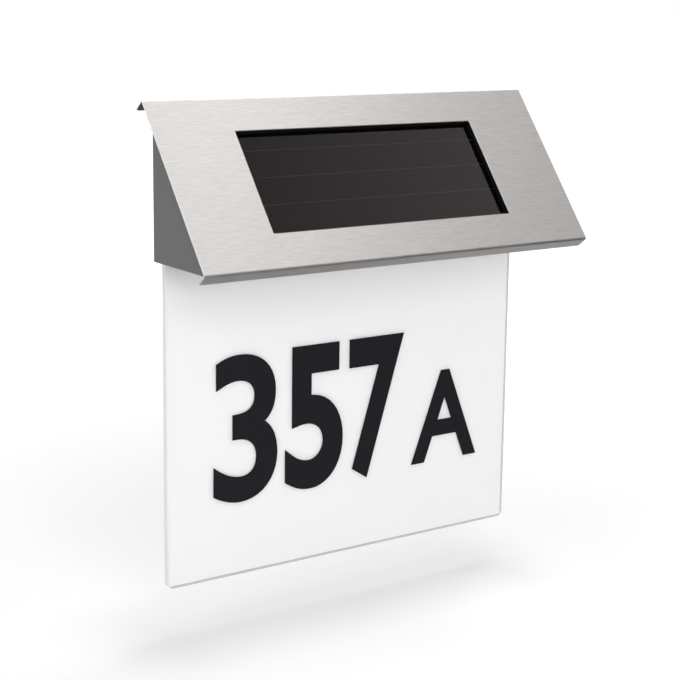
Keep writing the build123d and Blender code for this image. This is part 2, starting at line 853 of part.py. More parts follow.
for node, make in makers.items():
    made = make()
    pieces = made if isinstance(made, list) else [made]
    solids = [solid for piece in pieces for solid in piece.solids()]
    export_step(Compound(children=solids), f"parts/{node}.step")
    print(node, len(solids), "solids", round(sum(solid.volume for solid in solids)), "mm3")
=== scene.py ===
# %% [markdown]
# # A solar house number sign
#
# The real sign is a bent sheet of brushed steel over a plastic lamp head. A small solar panel sits
# in the sheet's window, and a frosted plate with the house number hangs from the underside. The
# exact shapes are already made as solids. This script dresses them: it gives each one its finish,
# adds the thin and small things that a solid model leaves out, and photographs the sign in a soft
# white studio.

# %% Load the solids
import json
from math import cos, hypot, pi, sin

import bmesh
import bpy
from mathutils import Matrix, Vector


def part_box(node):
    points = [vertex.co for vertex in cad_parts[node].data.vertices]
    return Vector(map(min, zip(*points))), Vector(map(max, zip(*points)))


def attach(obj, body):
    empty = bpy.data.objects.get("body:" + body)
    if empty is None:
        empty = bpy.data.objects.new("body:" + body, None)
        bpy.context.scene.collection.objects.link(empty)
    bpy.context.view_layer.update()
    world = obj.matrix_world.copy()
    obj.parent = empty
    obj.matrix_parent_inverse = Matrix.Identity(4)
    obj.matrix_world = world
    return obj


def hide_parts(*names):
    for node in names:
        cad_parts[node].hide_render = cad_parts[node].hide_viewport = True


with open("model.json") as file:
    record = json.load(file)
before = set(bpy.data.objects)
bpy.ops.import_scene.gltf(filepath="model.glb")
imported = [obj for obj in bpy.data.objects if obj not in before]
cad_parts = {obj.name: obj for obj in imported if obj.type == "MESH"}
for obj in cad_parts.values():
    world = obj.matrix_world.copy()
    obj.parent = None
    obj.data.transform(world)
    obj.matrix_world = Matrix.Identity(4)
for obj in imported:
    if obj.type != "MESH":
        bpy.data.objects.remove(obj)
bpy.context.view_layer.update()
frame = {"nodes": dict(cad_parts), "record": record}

scene = bpy.context.scene

# %% [markdown]
# ## One way to make every finish
#
# Nearly every part of the sign is one plain stuff with a fine grain: moulded plastic, rubber,
# foam. A finish could be an image, but an image has a fixed sharpness and needs a map. Noise that
# is worked out from the place on the part needs neither, so each finish here is a Principled
# shader whose colour, roughness and small bumps follow noise on the Object coordinates.
#
# A shader is a tree of nodes. Most of them do one step of arithmetic, so a short helper adds such
# a step, and takes outputs of other nodes and plain numbers alike.

# %% Nodes and sockets
def set_sockets(node, values):
    for socket, value in values.items():
        node.inputs[socket].default_value = value


def join(tree, value, socket):
    """Links an output to a socket, or writes a plain value on it."""
    if isinstance(value, bpy.types.NodeSocket):
        tree.links.new(value, socket)
    else:
        socket.default_value = value


def maths(tree, operation, *values):
    """One step of arithmetic on outputs and numbers."""
    step = tree.nodes.new("ShaderNodeMath")
    step.operation = operation
    for value, socket in zip(values, step.inputs):
        join(tree, value, socket)
    return step.outputs[0]


def remap(tree, signal, sockets):
    """A signal from one range of numbers, stretched to another."""
    ramp = tree.nodes.new("ShaderNodeMapRange")
    set_sockets(ramp, sockets)
    join(tree, signal, ramp.inputs["Value"])
    return ramp.outputs["Result"]


def new_finish(name, values):
    """A material with a Principled shader and the part's own coordinates."""
    finish = bpy.data.materials.new(name)
    finish.use_nodes = True
    tree = finish.node_tree
    shader = tree.nodes["Principled BSDF"]
    set_sockets(shader, values)
    place = tree.nodes.new("ShaderNodeTexCoord").outputs["Object"]
    return finish, tree, shader, place


slot_of = {part["node"]: part["material_slot"] for part in frame["record"]["subparts"]}
print("finishes to make:", sorted(set(slot_of.values())))

# %% Noise, colour and bumps
noise_low, noise_high = 0.3, 0.7


def stretched_noise(tree, place, cells, detail=3.0):
    """Noise with so many cells to the metre along X, Y and Z."""
    mapping = tree.nodes.new("ShaderNodeMapping")
    mapping.inputs["Scale"].default_value = cells
    noise = tree.nodes.new("ShaderNodeTexNoise")
    set_sockets(noise, {"Scale": 1.0, "Detail": detail})
    tree.links.new(place, mapping.inputs["Vector"])
    tree.links.new(mapping.outputs["Vector"], noise.inputs["Vector"])
    return noise.outputs["Fac"]


def spread(tree, signal, low, high):
    """The middle of a noise, stretched to run from low to high."""
    middle = {"From Min": noise_low, "From Max": noise_high}
    return remap(tree, signal, {**middle, "To Min": low, "To Max": high})


def blend_colours(tree, signal, first, second):
    """The first colour where the signal is 0, and the second where it is 1."""
    mix = tree.nodes.new("ShaderNodeMix")
    mix.data_type = "RGBA"
    join(tree, signal, mix.inputs["Factor"])
    for colour, socket in ((first, mix.inputs[6]), (second, mix.inputs[7])):
        plain = not isinstance(colour, bpy.types.NodeSocket)
        join(tree, (*colour, 1) if plain else colour, socket)
    return mix.outputs[2]


def small_bumps(tree, shader, signal, height):
    bump = tree.nodes.new("ShaderNodeBump")
    set_sockets(bump, {"Strength": 1.0, "Distance": height})
    tree.links.new(signal, bump.inputs["Height"])
    tree.links.new(bump.outputs["Normal"], shader.inputs["Normal"])


print("noise is used from", noise_low, "to", noise_high)

# %% A finish with a grain
roughness_swing = 0.04


def grained(name, colour, roughness, grain, height, contrast=0.06, **values):
    """A finish with one colour, and a grain of so many cells to the metre."""
    finish, tree, shader, place = new_finish(name, values)
    noise = stretched_noise(tree, place, (grain, grain, grain))
    darker = [c * (1 - contrast) for c in colour]
    lighter = [c * (1 + contrast) for c in colour]
    tone = blend_colours(tree, spread(tree, noise, 0, 1), darker, lighter)
    rough = spread(tree, noise, roughness - roughness_swing, roughness + roughness_swing)
    tree.links.new(tone, shader.inputs["Base Color"])
    tree.links.new(rough, shader.inputs["Roughness"])
    small_bumps(tree, shader, noise, height)
    return finish


def dress(slot, finish):
    """Puts a finish on every solid that the record gives this slot."""
    worn = [node for node, name in slot_of.items() if name == slot]
    for node in worn:
        frame["nodes"][node].material_slots[0].material = finish
    print(slot, "on", worn)


print("a grain swings the roughness by", roughness_swing)

# %% [markdown]
# ## Brushed steel
#
# The hood is stainless sheet that was rubbed lengthwise with an abrasive belt, so it carries long
# fine scratches that all run across the sign. A noise with few cells along X and very many along
# the other two axes gives such lines. They change the tone and the roughness a little, and tilt
# the surface by a hair, which is what breaks up the reflections of the studio. Only the outer side
# is brushed. The inner side keeps the dull skin from the mill, and is painted far darker than that
# skin: painted shade, for the shade inside the fold. It shows at the end of the upper flange, and
# the finish finds it by its distance from the outer faces, so that one finish serves the whole
# sheet.

# %% Where the hood's slope lies
face_run, face_drop = 0.0508, 0.0651
slope_top = Vector((0, -0.006, 0.030))
face_length = hypot(face_run, face_drop)
down_slope = Vector((0, -face_run / face_length, -face_drop / face_length))
off_slope = Vector((1, 0, 0)).cross(-down_slope)
slope_turn = Matrix((Vector((1, 0, 0)), -down_slope, off_slope)).transposed()


def distance_along(tree, place, direction, start):
    """How far a point lies from a start along a direction, in metres."""
    dot = tree.nodes.new("ShaderNodeVectorMath")
    dot.operation = "DOT_PRODUCT"
    dot.inputs[1].default_value = direction
    tree.links.new(place, dot.inputs[0])
    return maths(tree, "SUBTRACT", dot.outputs["Value"], start)


print("the hood's face is", round(face_length * 1000, 1), "mm long")

# %% Steel for the hood
sheet = 0.0006
nearly_through = 0.93
scratches, bands = (200, 6500, 6500), (120, 4000, 4000)
scratch_share, band_share = 0.65, 0.35
dark_scratch, bright_scratch = (0.55, 0.532, 0.515), (0.80, 0.790, 0.780)
# painted shade: the fold's inner side is much darker than a dull mill skin, for the shade in the
# fold
dull_side_and_fold_shade = (0.20, 0.19, 0.18)
smoothest, roughest, scratch_height = 0.44, 0.56, 0.000003


def inside_of_fold(tree, place):
    """1 on the sheet's inner side, which lies a sheet's thickness from all three outer faces."""
    top = down_slope.dot(slope_top)
    depth = distance_along(tree, place, -off_slope, -off_slope.dot(slope_top))
    from_top = distance_along(tree, place, down_slope, top)
    from_low = distance_along(tree, place, -down_slope, -top - face_length)
    nearest = maths(tree, "MINIMUM", maths(tree, "MINIMUM", depth, from_top), from_low)
    return maths(tree, "GREATER_THAN", nearest, sheet * nearly_through)


def brushed_steel():
    values = {"Metallic": 1.0, "Anisotropic": 0.85, "Anisotropic Rotation": 0.25}
    finish, tree, shader, place = new_finish("brushed_steel", values)
    along = tree.nodes.new("ShaderNodeCombineXYZ")
    along.inputs["X"].default_value = 1.0
    tree.links.new(along.outputs[0], shader.inputs["Tangent"])
    fine = stretched_noise(tree, place, scratches, detail=1.0)
    broad = stretched_noise(tree, place, bands, detail=1.0)
    share = maths(tree, "MULTIPLY", fine, scratch_share)
    both = maths(tree, "MULTIPLY_ADD", broad, band_share, share)
    brushed = blend_colours(tree, spread(tree, both, 0, 1), dark_scratch, bright_scratch)
    # painted shade: the inner side of the fold gets the dark colour
    colour = blend_colours(tree, inside_of_fold(tree, place), brushed, dull_side_and_fold_shade)
    tree.links.new(colour, shader.inputs["Base Color"])
    tree.links.new(spread(tree, fine, smoothest, roughest), shader.inputs["Roughness"])
    small_bumps(tree, shader, fine, scratch_height)
    return finish


dress("brushed_stainless", brushed_steel())

# %% [markdown]
# ## The folded sheet
#
# The hood is cut flat, with its window, and then folded twice. The same steps make it here: one
# edge is drawn out to a flange, spun through a quarter turn for the fold, drawn out over the
# slope, and folded again. The window is cut by two planes, and the flanges' free corners are
# rounded while the sheet has no thickness yet. Solidify then gives the thickness inwards, so that
# the outer faces stay exactly where they are, and a small bevel breaks the cut edges. The folds
# are tighter than on the plain solid, as a brake press leaves them, and the lower flange is a
# millimetre shorter.

# %% From a bmesh to a piece of the sign
def new_object(name, shape, finish=None):
    """A bmesh becomes an object in the scene."""
    mesh = bpy.data.meshes.new(name)
    shape.to_mesh(mesh)
    shape.free()
    if finish:
        mesh.materials.append(finish)
        print(name, len(mesh.polygons), "faces")
    made = bpy.data.objects.new(name, mesh)
    scene.collection.objects.link(made)
    return made


def finish_piece(name, shape, finish, body, replaced=()):
    """A finished bmesh becomes a piece that rides on a body."""
    piece = new_object(name, shape, finish)
    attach(piece, body)
    if replaced:
        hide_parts(*replaced)
    return piece


def finish_of(node):
    return frame["nodes"][node].material_slots[0].material


print("the plain hood wears", finish_of("hood_cover").name)

# %% Draw out and fold
fold, fold_steps = 0.0011, 8
half_width, upper_flange, lower_flange = 0.100, 0.0070, 0.0066
window_half, window_from, window_height = 0.0621, 0.0167, 0.0494
to_window, past_window = fold - window_from, window_from + window_height + fold - face_length


def draw_out(shape, edges, move):
    """Draws the sheet's free edge on, and returns the new free edge."""
    drawn = bmesh.ops.extrude_edge_only(shape, edges=edges)["geom"]
    ends = [v for v in drawn if isinstance(v, bmesh.types.BMVert)]
    bmesh.ops.translate(shape, verts=ends, vec=move)
    return [e for e in drawn if isinstance(e, bmesh.types.BMEdge)]


def fold_over(shape, edges, centre):
    """Folds the sheet through a quarter turn, and returns the new free edge."""
    ends = {v for edge in edges for v in edge.verts}
    spun = bmesh.ops.spin(
        shape, geom=[*edges, *ends], cent=centre, axis=(1, 0, 0), angle=pi / 2,
        steps=fold_steps, use_merge=False,
    )
    return [e for e in spun["geom_last"] if isinstance(e, bmesh.types.BMEdge)]


hood = bmesh.new()
ends = [hood.verts.new((x, 0, -upper_flange)) for x in (-half_width, half_width)]
free = [hood.edges.new(ends)]
free = draw_out(hood, free, (0, 0, upper_flange - fold))
free = fold_over(hood, free, (0, -fold, -fold))
for run in (to_window, -window_height, past_window):
    free = draw_out(hood, free, (0, run, 0))
free = fold_over(hood, free, (0, fold - face_length, -fold))
draw_out(hood, free, (0, 0, fold - lower_flange))
print("the folded strip has", len(hood.faces), "faces")

# %% Cut the window and round the corners
corner_round = 0.0013

for side in (-1, 1):
    everything = hood.verts[:] + hood.edges[:] + hood.faces[:]
    cut_at = (side * window_half, 0, 0)
    bmesh.ops.bisect_plane(hood, geom=everything, plane_co=cut_at, plane_no=(1, 0, 0))


def in_window(face):
    middle = face.calc_center_median()
    in_height = -window_height < middle.y + window_from < 0
    return abs(middle.x) < window_half and in_height and abs(middle.z) < sheet


def at_free_corner(v):
    to_flange_edge = min(abs(v.co.z + upper_flange), abs(v.co.z + lower_flange))
    return abs(v.co.x) > half_width - sheet and to_flange_edge < sheet / 10


cut_out = [face for face in hood.faces if in_window(face)]
bmesh.ops.delete(hood, geom=cut_out, context="FACES")
corners = [v for v in hood.verts if at_free_corner(v)]
bmesh.ops.bevel(
    hood, geom=corners, offset=corner_round, affect="VERTICES", segments=6, profile=0.5, material=-1
)
hood.normal_update()
if sum(face.normal.z * face.calc_area() for face in hood.faces) < 0:
    bmesh.ops.reverse_faces(hood, faces=hood.faces)
bmesh.ops.rotate(hood, verts=hood.verts, matrix=slope_turn)
bmesh.ops.translate(hood, verts=hood.verts, vec=slope_top)
folded = finish_piece(
    "folded_hood", hood, finish_of("hood_cover"), "housing", ["hood_cover"]
)

# %% Give the sheet its thickness
broken_edge = 0.00018
thick = folded.modifiers.new("thickness", "SOLIDIFY")
thick.thickness = sheet
thick.offset = -1
thick.use_even_offset = True
broken = folded.modifiers.new("broken_edges", "BEVEL")
broken.width = broken_edge
broken.segments = 1
broken.limit_method = "ANGLE"
broken.angle_limit = pi / 3
hood_low, hood_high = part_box("hood_cover")
print("plain hood's depth", round((hood_high.y - hood_low.y) * 1000, 2), "mm")
depths = [v.co.y for v in folded.data.vertices]
print("folded hood's depth", round((max(depths) - min(depths)) * 1000, 2), "mm")

# %% [markdown]
# ## The solar panel
#
# Four rows of dark brown cells lie on a slightly paler board, under a clear cover. The gaps
# between the rows show the board as fine lines. Each row also has a thin printed line along its
# middle. The line could be a strip of mesh, but it has no height of its own, so it is painted by
# the cell's finish: the distance down the slope, taken from the Object coordinates, repeats once
# for each row.

# %% Cells and board
cell_pitch, first_joint = 0.0131, 0.01155
rows_before = 40  # so many pitches back that the distance never falls below zero
half_line = 0.00014
cell_brown, line_brown = (0.034, 0.024, 0.026), (0.10, 0.075, 0.075)
no_shine = {"Specular IOR Level": 0.0}


def dark_cells():
    finish, tree, shader, place = new_finish("dark_cells", {"Roughness": 0.5, **no_shine})
    start = down_slope.dot(slope_top) + first_joint - rows_before * cell_pitch
    in_row = maths(tree, "MODULO", distance_along(tree, place, down_slope, start), cell_pitch)
    line = maths(tree, "COMPARE", in_row, cell_pitch / 2, half_line)
    colour = blend_colours(tree, line, cell_brown, line_brown)
    tree.links.new(colour, shader.inputs["Base Color"])
    return finish


dress("solar_cell", dark_cells())
dress("panel_board", grained("panel_board", (0.50, 0.41, 0.39), 0.5, 900, 0.000002, **no_shine))

# %% [markdown]
# ## The panel's cover
#
# On the real panel the cover is bonded to the cells with no air between, so only its outer face
# mirrors the studio, and the bonding layer is slightly smoky. A bare slab of glass on top would
# mirror twice. The cover here is therefore a new slab that reaches a quarter of a millimetre into
# the cells. Its tint is dark, and the cells and the board below it are written paler than they
# look. Light is dimmed on its way down through the slab and on its way back, while the reflection
# on the outer face stays as it is.

# %% Lay the bonded cover
smoke_low, smoke_high, smoke_cells = (0.115, 0.115, 0.115), (0.125, 0.125, 0.125), 40
cover_top, cover_length = 0.0090, 0.0600
cover_depth, cover_thickness, bonded = 0.0029, 0.0010, 0.00025
cover_chamfer = 0.0001
cover_low, cover_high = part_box("solar_cover_glass")


def clear_cover():
    values = {"Roughness": 0.0, "Transmission Weight": 1.0, "IOR": 1.45}
    finish, tree, shader, place = new_finish("clear_cover", values)
    noise = stretched_noise(tree, place, (smoke_cells, smoke_cells, smoke_cells), detail=1.0)
    tint = blend_colours(tree, spread(tree, noise, 0, 1), smoke_low, smoke_high)
    tree.links.new(tint, shader.inputs["Base Color"])
    return finish


dress("cover_glass", clear_cover())
slab = cover_thickness + bonded
cover = bmesh.new()
bmesh.ops.create_cube(cover, size=1.0)
slab_size = (cover_high.x - cover_low.x, cover_length, slab)
bmesh.ops.scale(cover, verts=cover.verts, vec=slab_size)
bmesh.ops.bevel(
    cover, geom=cover.edges[:], offset=cover_chamfer, affect="EDGES", segments=2, profile=0.5,
    material=-1,
)
middle = (0, -cover_top - cover_length / 2, -cover_depth - slab / 2)
bmesh.ops.translate(cover, verts=cover.verts, vec=middle)
bmesh.ops.rotate(cover, verts=cover.verts, matrix=slope_turn)
bmesh.ops.translate(cover, verts=cover.verts, vec=slope_top)
clear = finish_of("solar_cover_glass")
finish_piece("bonded_cover", cover, clear, "housing", ["solar_cover_glass"])

# %% [markdown]
# ## Frosted plate
#
# The number plate is 3 mm acrylic with a frosted face and polished edges. Light wanders inside
# it, so it looks evenly pale, and its edges read as thin grey outlines. The wandering is given by
# the shader's subsurface light, which spreads over some six millimetres. The grey outlines on the
# right and below are painted shade: a narrow band along these two free edges is painted greyer, by
# the distance to the plate's own outline.

# %% Acrylic for the plate
plate_low, plate_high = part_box("number_plate")
edge_band = 0.0012
# the second colour is painted shade for the grey look of the polished edges
frost, edge_shade_grey = (0.86, 0.864, 0.868), (0.50, 0.503, 0.505)
frost_cells, frost_height = 2500, 0.000004


def frosted_acrylic():
    values = {"Roughness": 0.42, "IOR": 1.49, "Subsurface Weight": 1.0, "Subsurface Scale": 0.006}
    values["Subsurface Radius"] = (1.0, 1.0, 1.0)
    finish, tree, shader, place = new_finish("frosted_acrylic", values)
    noise = stretched_noise(tree, place, (frost_cells, frost_cells, frost_cells), detail=2.0)
    split = tree.nodes.new("ShaderNodeSeparateXYZ")
    tree.links.new(place, split.inputs[0])
    at_side = maths(tree, "GREATER_THAN", split.outputs["X"], plate_high.x - edge_band)
    at_foot = maths(tree, "LESS_THAN", split.outputs["Z"], plate_low.z + edge_band)
    # painted shade: grey bands along the right and bottom edges
    colour = blend_colours(tree, maths(tree, "MAXIMUM", at_side, at_foot), frost, edge_shade_grey)
    tree.links.new(colour, shader.inputs["Base Color"])
    small_bumps(tree, shader, noise, frost_height)
    return finish


print("plate from", tuple(plate_low), "to", tuple(plate_high))
dress("frosted_acrylic", frosted_acrylic())

# %% [markdown]
# ## Plastics, rubber and metal inside
#
# The lamp head is moulded in dark grey plastic with a fine spark grain. Seals and pads are black
# rubber, the tape is foam, and the small metal parts are plated. They mostly hide inside, but
# each shows once the sign is taken apart, so each has a finish of its own. The numbers after a
# colour are the roughness, the cells to the metre and the height of the bumps in metres.

# %% Plain finishes
faint_shine = {"Specular IOR Level": 0.1}
dress("housing_plastic", grained("moulded_grey", (0.108, 0.109, 0.113), 0.52, 2600, 0.00002))
dress("foam_tape", grained("black_foam", (0.03, 0.03, 0.03), 0.9, 1800, 0.00008, contrast=0.3))
rubber = grained("black_rubber", (0.005, 0.005, 0.005), 0.9, 2200, 0.00002, **faint_shine)
dress("seal_rubber", rubber)
holder_white = grained("white_plastic", (0.80, 0.80, 0.78), 0.45, 2000, 0.00001, contrast=0.02)
dress("white_plastic", holder_white)
green = grained("green_board", (0.02, 0.11, 0.045), 0.35, 1500, 0.000008, contrast=0.15)
dress("circuit_board", green)
dress("component_plastic", grained("black_components", (0.025, 0.025, 0.027), 0.5, 2400, 0.00002))
dress("switch_plastic", grained("black_slider", (0.02, 0.02, 0.02), 0.45, 2400, 0.00002))
dress("battery_sleeve", grained("green_sleeve", (0.03, 0.20, 0.07), 0.25, 700, 0.000005))
dress("led_lens", grained("lamp_lens", (0.85, 0.78, 0.35), 0.2, 900, 0.000003))
dress("zinc_screw", grained("zinc_plate", (0.70, 0.70, 0.68), 0.3, 3000, 0.000008, Metallic=1.0))
nickel = grained("nickel_plate", (0.72, 0.69, 0.64), 0.25, 3000, 0.000005, Metallic=1.0)
dress("nickel_contact", nickel)
shaded_zinc = grained("shaded_zinc", (0.06, 0.06, 0.06), 0.6, 2500, 0.000005)

# %% [markdown]
# ## Screw heads
#
# The solids give each screw its head and a plain rod. Real ones are pan heads with a cross recess.
# The recess is two crossing slots, and the neatest way to sink them in a round head is to cut it
# with two bars. A thin dark floor in the recess stands for the shade that is always in there.

# %% Pan heads
slot_long, slot_wide = 1.15, 0.26  # shares of the head's radius
rim_starts, rim_round = 0.9, 0.3  # shares of its height


def add_rod(shape, radius, low, high, segments):
    made = bmesh.ops.create_cone(
        shape, cap_ends=True, segments=segments, radius1=radius, radius2=radius, depth=high - low
    )
    bmesh.ops.translate(shape, verts=made["verts"], vec=(0, 0, (low + high) / 2))


def add_bar(shape, size, lift):
    """A box of this size, lifted off the origin, and its vertices."""
    bar = bmesh.ops.create_cube(shape, size=1.0)["verts"]
    bmesh.ops.scale(shape, verts=bar, vec=size)
    bmesh.ops.translate(shape, verts=bar, vec=(0, 0, lift))
    return bar


def pan_head(radius, height):
    """A mesh of a round head with a cross recess, its underside at zero."""
    head = bmesh.new()
    add_rod(head, radius, 0, height, 40)
    rim = [edge for edge in head.edges if all(v.co.z > height * rim_starts for v in edge.verts)]
    bmesh.ops.bevel(
        head, geom=rim, offset=height * rim_round, affect="EDGES", segments=4, profile=0.5,
        material=-1,
    )
    round_head = new_object("head", head)
    bars = []
    for along_x, along_y in ((slot_long, slot_wide), (slot_wide, slot_long)):
        bar = bmesh.new()
        add_bar(bar, (radius * along_x, radius * along_y, height), height)
        bars.append(new_object("bar", bar))
        cut = round_head.modifiers.new("cut", "BOOLEAN")
        cut.operation = "DIFFERENCE"
        cut.solver = "EXACT"
        cut.object = bars[-1]
    bpy.context.view_layer.update()
    cut_head = round_head.evaluated_get(bpy.context.evaluated_depsgraph_get())
    mesh = bpy.data.meshes.new_from_object(cut_head)
    for done in [round_head, *bars]:
        bpy.data.objects.remove(done)
    return mesh


trial_head = pan_head(0.0028, 0.0020)
print("a head has", len(trial_head.polygons), "faces")
bpy.data.meshes.remove(trial_head)

# %% [markdown]
# ## Threads
#
# The thread cuts its own way into the plastic. It is a small triangle that turns round the core
# while it moves along it, so it is spun with a step of height. One screw is made for each size
# and is then set at every seat.

# %% Threads
steps_per_turn, ridge_share, pitch_share, core_share = 16, 0.35, 0.55, 0.8


def add_thread(shape, radius, length, pitch):
    """A helical ridge whose crest runs at the radius."""
    ridge = pitch * ridge_share
    profile = bmesh.ops.create_circle(shape, cap_ends=True, segments=3, radius=ridge)["verts"]
    bmesh.ops.rotate(shape, verts=profile, matrix=Matrix.Rotation(pi / 2, 3, "X"))
    crest = max(v.co.x for v in profile)
    bmesh.ops.translate(shape, verts=profile, vec=(radius - crest, 0, -1.5 * ridge))
    turns = int((length - 3 * ridge) / pitch)
    faces = list({face for v in profile for face in v.link_faces})
    edges = list({edge for v in profile for edge in v.link_edges})
    bmesh.ops.spin(
        shape, geom=profile + edges + faces, cent=(0, 0, 0), axis=(0, 0, 1),
        dvec=(0, 0, -pitch / steps_per_turn), angle=2 * pi * turns,
        steps=steps_per_turn * turns, use_merge=False, use_duplicate=False,
    )


print("a turn of thread has", steps_per_turn, "steps")

# %% One screw, set at every seat
core_into_head = 0.2  # share of the head's height
shade_long, shade_wide, shade_thick, shade_lift = 1.1, 0.24, 0.1, 0.56


def screws(node, body, seats, outward, head_radius, head_height, radius, length):
    """Screws with their heads' undersides at the seats and their heads outward."""
    one = bmesh.new()
    one.from_mesh(pan_head(head_radius, head_height))
    add_rod(one, radius * core_share, -length, head_height * core_into_head, 24)
    add_thread(one, radius, length, radius * pitch_share)
    bmesh.ops.recalc_face_normals(one, faces=one.faces)
    single = bpy.data.meshes.new("one")
    one.to_mesh(single)
    one.free()
    turn = Vector((0, 0, 1)).rotation_difference(Vector(outward)).to_matrix()
    group, floors = bmesh.new(), bmesh.new()
    for seat in seats:
        placed = len(group.verts)
        group.from_mesh(single)
        group.verts.ensure_lookup_table()
        bmesh.ops.rotate(group, verts=group.verts[placed:], matrix=turn)
        bmesh.ops.translate(group, verts=group.verts[placed:], vec=seat)
        for along_x, along_y in ((shade_long, shade_wide), (shade_wide, shade_long)):
            size = (head_radius * along_x, head_radius * along_y, head_height * shade_thick)
            bar = add_bar(floors, size, head_height * shade_lift)
            bmesh.ops.rotate(floors, verts=bar, matrix=turn)
            bmesh.ops.translate(floors, verts=bar, vec=seat)
    finish_piece(node + "_threaded", group, finish_of(node), body, [node])
    finish_piece(node + "_recesses", floors, shaded_zinc, body)


print("the shade in a recess is", shade_thick, "of the head's height thick")

# %% The screws' sizes and seats
# Head radius, head height, radius and length, in metres
housing_screw = (0.0028, 0.0020, 0.0015, 0.012)
lid_screw = (0.0023, 0.0010, 0.00125, 0.0045)
holder_screw = (0.0020, 0.0014, 0.0010, 0.006)
board_screw = (0.0020, 0.0014, 0.0010, 0.005)
clip_screw = (0.0020, 0.0014, 0.0010, 0.00388)

wall_side, room_side, into_lamp = (0, 1, 0), (0, -1, 0), (0, 0.788, -0.616)
housing_seats = [(x, -0.0032, z) for x in (-0.084, 0.084) for z in (0.008, -0.014)]
lid_seats = [(0.034, -0.0014, z) for z in (0.01185, -0.01485)]
holder_seats = [(x, -0.0086, -0.01554) for x in (-0.050, 0.050)]
board_seats = [(-0.0545, -0.0096, 0.0045), (-0.0215, -0.0096, -0.0085)]
clip_seats = [(x, -0.02647, -0.00729) for x in (-0.0704, 0.0704)]

screws("housing_screws", "housing", housing_seats, wall_side, *housing_screw)
screws("battery_lid_screws", "lid", lid_seats, wall_side, *lid_screw)
screws("holder_screws", "housing", holder_seats, room_side, *holder_screw)
screws("control_board_screws", "housing", board_seats, room_side, *board_screw)
screws("panel_clip_screws", "housing", clip_seats, into_lamp, *clip_screw)

# %% [markdown]
# ## The number
#
# House numbers of this kind are cut from dark vinyl and stuck on. Each sign is a letterform with
# the thickness of a sticker. A font's outline is the natural start: it is made bolder with an
# offset, turned into a mesh, and then stretched to a tall, narrow box on the plate. The 3 gets
# less of the offset, because its outline would cross itself in the notch on its right. The number
# here is a plain one of the same size and weight.

# %% Stick the number on
sticker = 0.00015
plate_front = plate_low.y
vinyl = grained("dark_vinyl", (0.0130, 0.0132, 0.0162), 0.5, 1600, 0.000004, **faint_shine)


def letterform(sign, bolder):
    """A bmesh of a sign as the font draws it, lying flat."""
    font = bpy.data.curves.new("sign", "FONT")
    font.body = sign
    font.offset = bolder
    font.extrude = 0.1
    font.resolution_u = 10
    text = bpy.data.objects.new("sign", font)
    scene.collection.objects.link(text)
    bpy.context.view_layer.update()
    drawn = text.evaluated_get(bpy.context.evaluated_depsgraph_get())
    shape = bmesh.new()
    shape.from_mesh(bpy.data.meshes.new_from_object(drawn))
    bpy.data.objects.remove(text)
    bmesh.ops.remove_doubles(shape, verts=shape.verts, dist=0.0001)
    return shape


def sticker_sign(sign, bolder, left, right, bottom, top):
    """One letter or digit as a thin solid on the plate, in metres."""
    shape = letterform(sign, bolder)
    lows = [min(v.co[axis] for v in shape.verts) for axis in range(3)]
    highs = [max(v.co[axis] for v in shape.verts) for axis in range(3)]
    wanted = (right - left, top - bottom, sticker)
    scale = [size / (high - low) for size, low, high in zip(wanted, lows, highs)]
    bmesh.ops.translate(shape, verts=shape.verts, vec=[-low for low in lows])
    bmesh.ops.scale(shape, verts=shape.verts, vec=scale)
    bmesh.ops.rotate(shape, verts=shape.verts, matrix=Matrix.Rotation(pi / 2, 3, "X"))
    bmesh.ops.translate(shape, verts=shape.verts, vec=(left, plate_front, bottom))
    bmesh.ops.recalc_face_normals(shape, faces=shape.faces)
    piece = new_object("sticker_" + sign, shape, vinyl)
    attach(piece, "plate")


digit_low, digit_high = -0.1453, -0.0793
sticker_sign("3", 0.018, -0.0705, -0.0380, digit_low, digit_high)
sticker_sign("5", 0.03, -0.0340, -0.0030, digit_low, digit_high)
sticker_sign("7", 0.03, 0.0002, 0.0306, digit_low, digit_high)
sticker_sign("A", 0.02, 0.0362, 0.0750, -0.1435, -0.0998)

# %% [markdown]
# ## The studio's light
#
# A product photograph on white uses a pale floor that runs into a white background, and large
# soft lamps. The world here gives even light from all sides. What the camera sees behind the sign
# is white by the world's own strength for such rays, and not by more light on the sign. Rays that
# mirror or pass through something count as seen too, so that steel and cover show the same white.

# %% World
light_strength, seen_strength = 0.50, 1.0


def seen_directly(tree):
    """1 for rays that show the surface itself: camera, gloss and see-through."""
    path = tree.nodes.new("ShaderNodeLightPath").outputs
    mirrored = maths(tree, "MAXIMUM", path["Is Camera Ray"], path["Is Glossy Ray"])
    return maths(tree, "MAXIMUM", mirrored, path["Is Transmission Ray"])


world = bpy.data.worlds.new("studio")
scene.world = world
world.use_nodes = True
around = world.node_tree
sky = around.nodes["Background"]
by_ray = {"To Min": light_strength, "To Max": seen_strength}
around.links.new(remap(around, seen_directly(around), by_ray), sky.inputs["Strength"])
print("the world lights at", light_strength, "and shows as", seen_strength)

# %% [markdown]
# ## A grey strip overhead
#
# Brushed steel mirrors the room as a soft streak: each point gathers light from a whole row of
# directions. In an all white room it would be flat white. In the photograph it is bright on the
# left and falls off to a warmer grey on the right. That takes a strip of warm grey overhead, in
# the row of directions that the slope mirrors, and one lamp whose streak lies on the hood's left.
# The strip is a part of the world that only gloss sees. It is darkest behind the lamp's streak,
# so that the two together don't burn out, and pales towards the right. Its lean is Y over Z.

# %% Hang the strip
strip_lean, strip_half_width = -0.389, 0.11
strip_tone = {"From Min": 0.47, "From Max": 0.64, "To Min": 0.42, "To Max": 0.97}
strip_warmth = 0.9
white = (1, 1, 1)


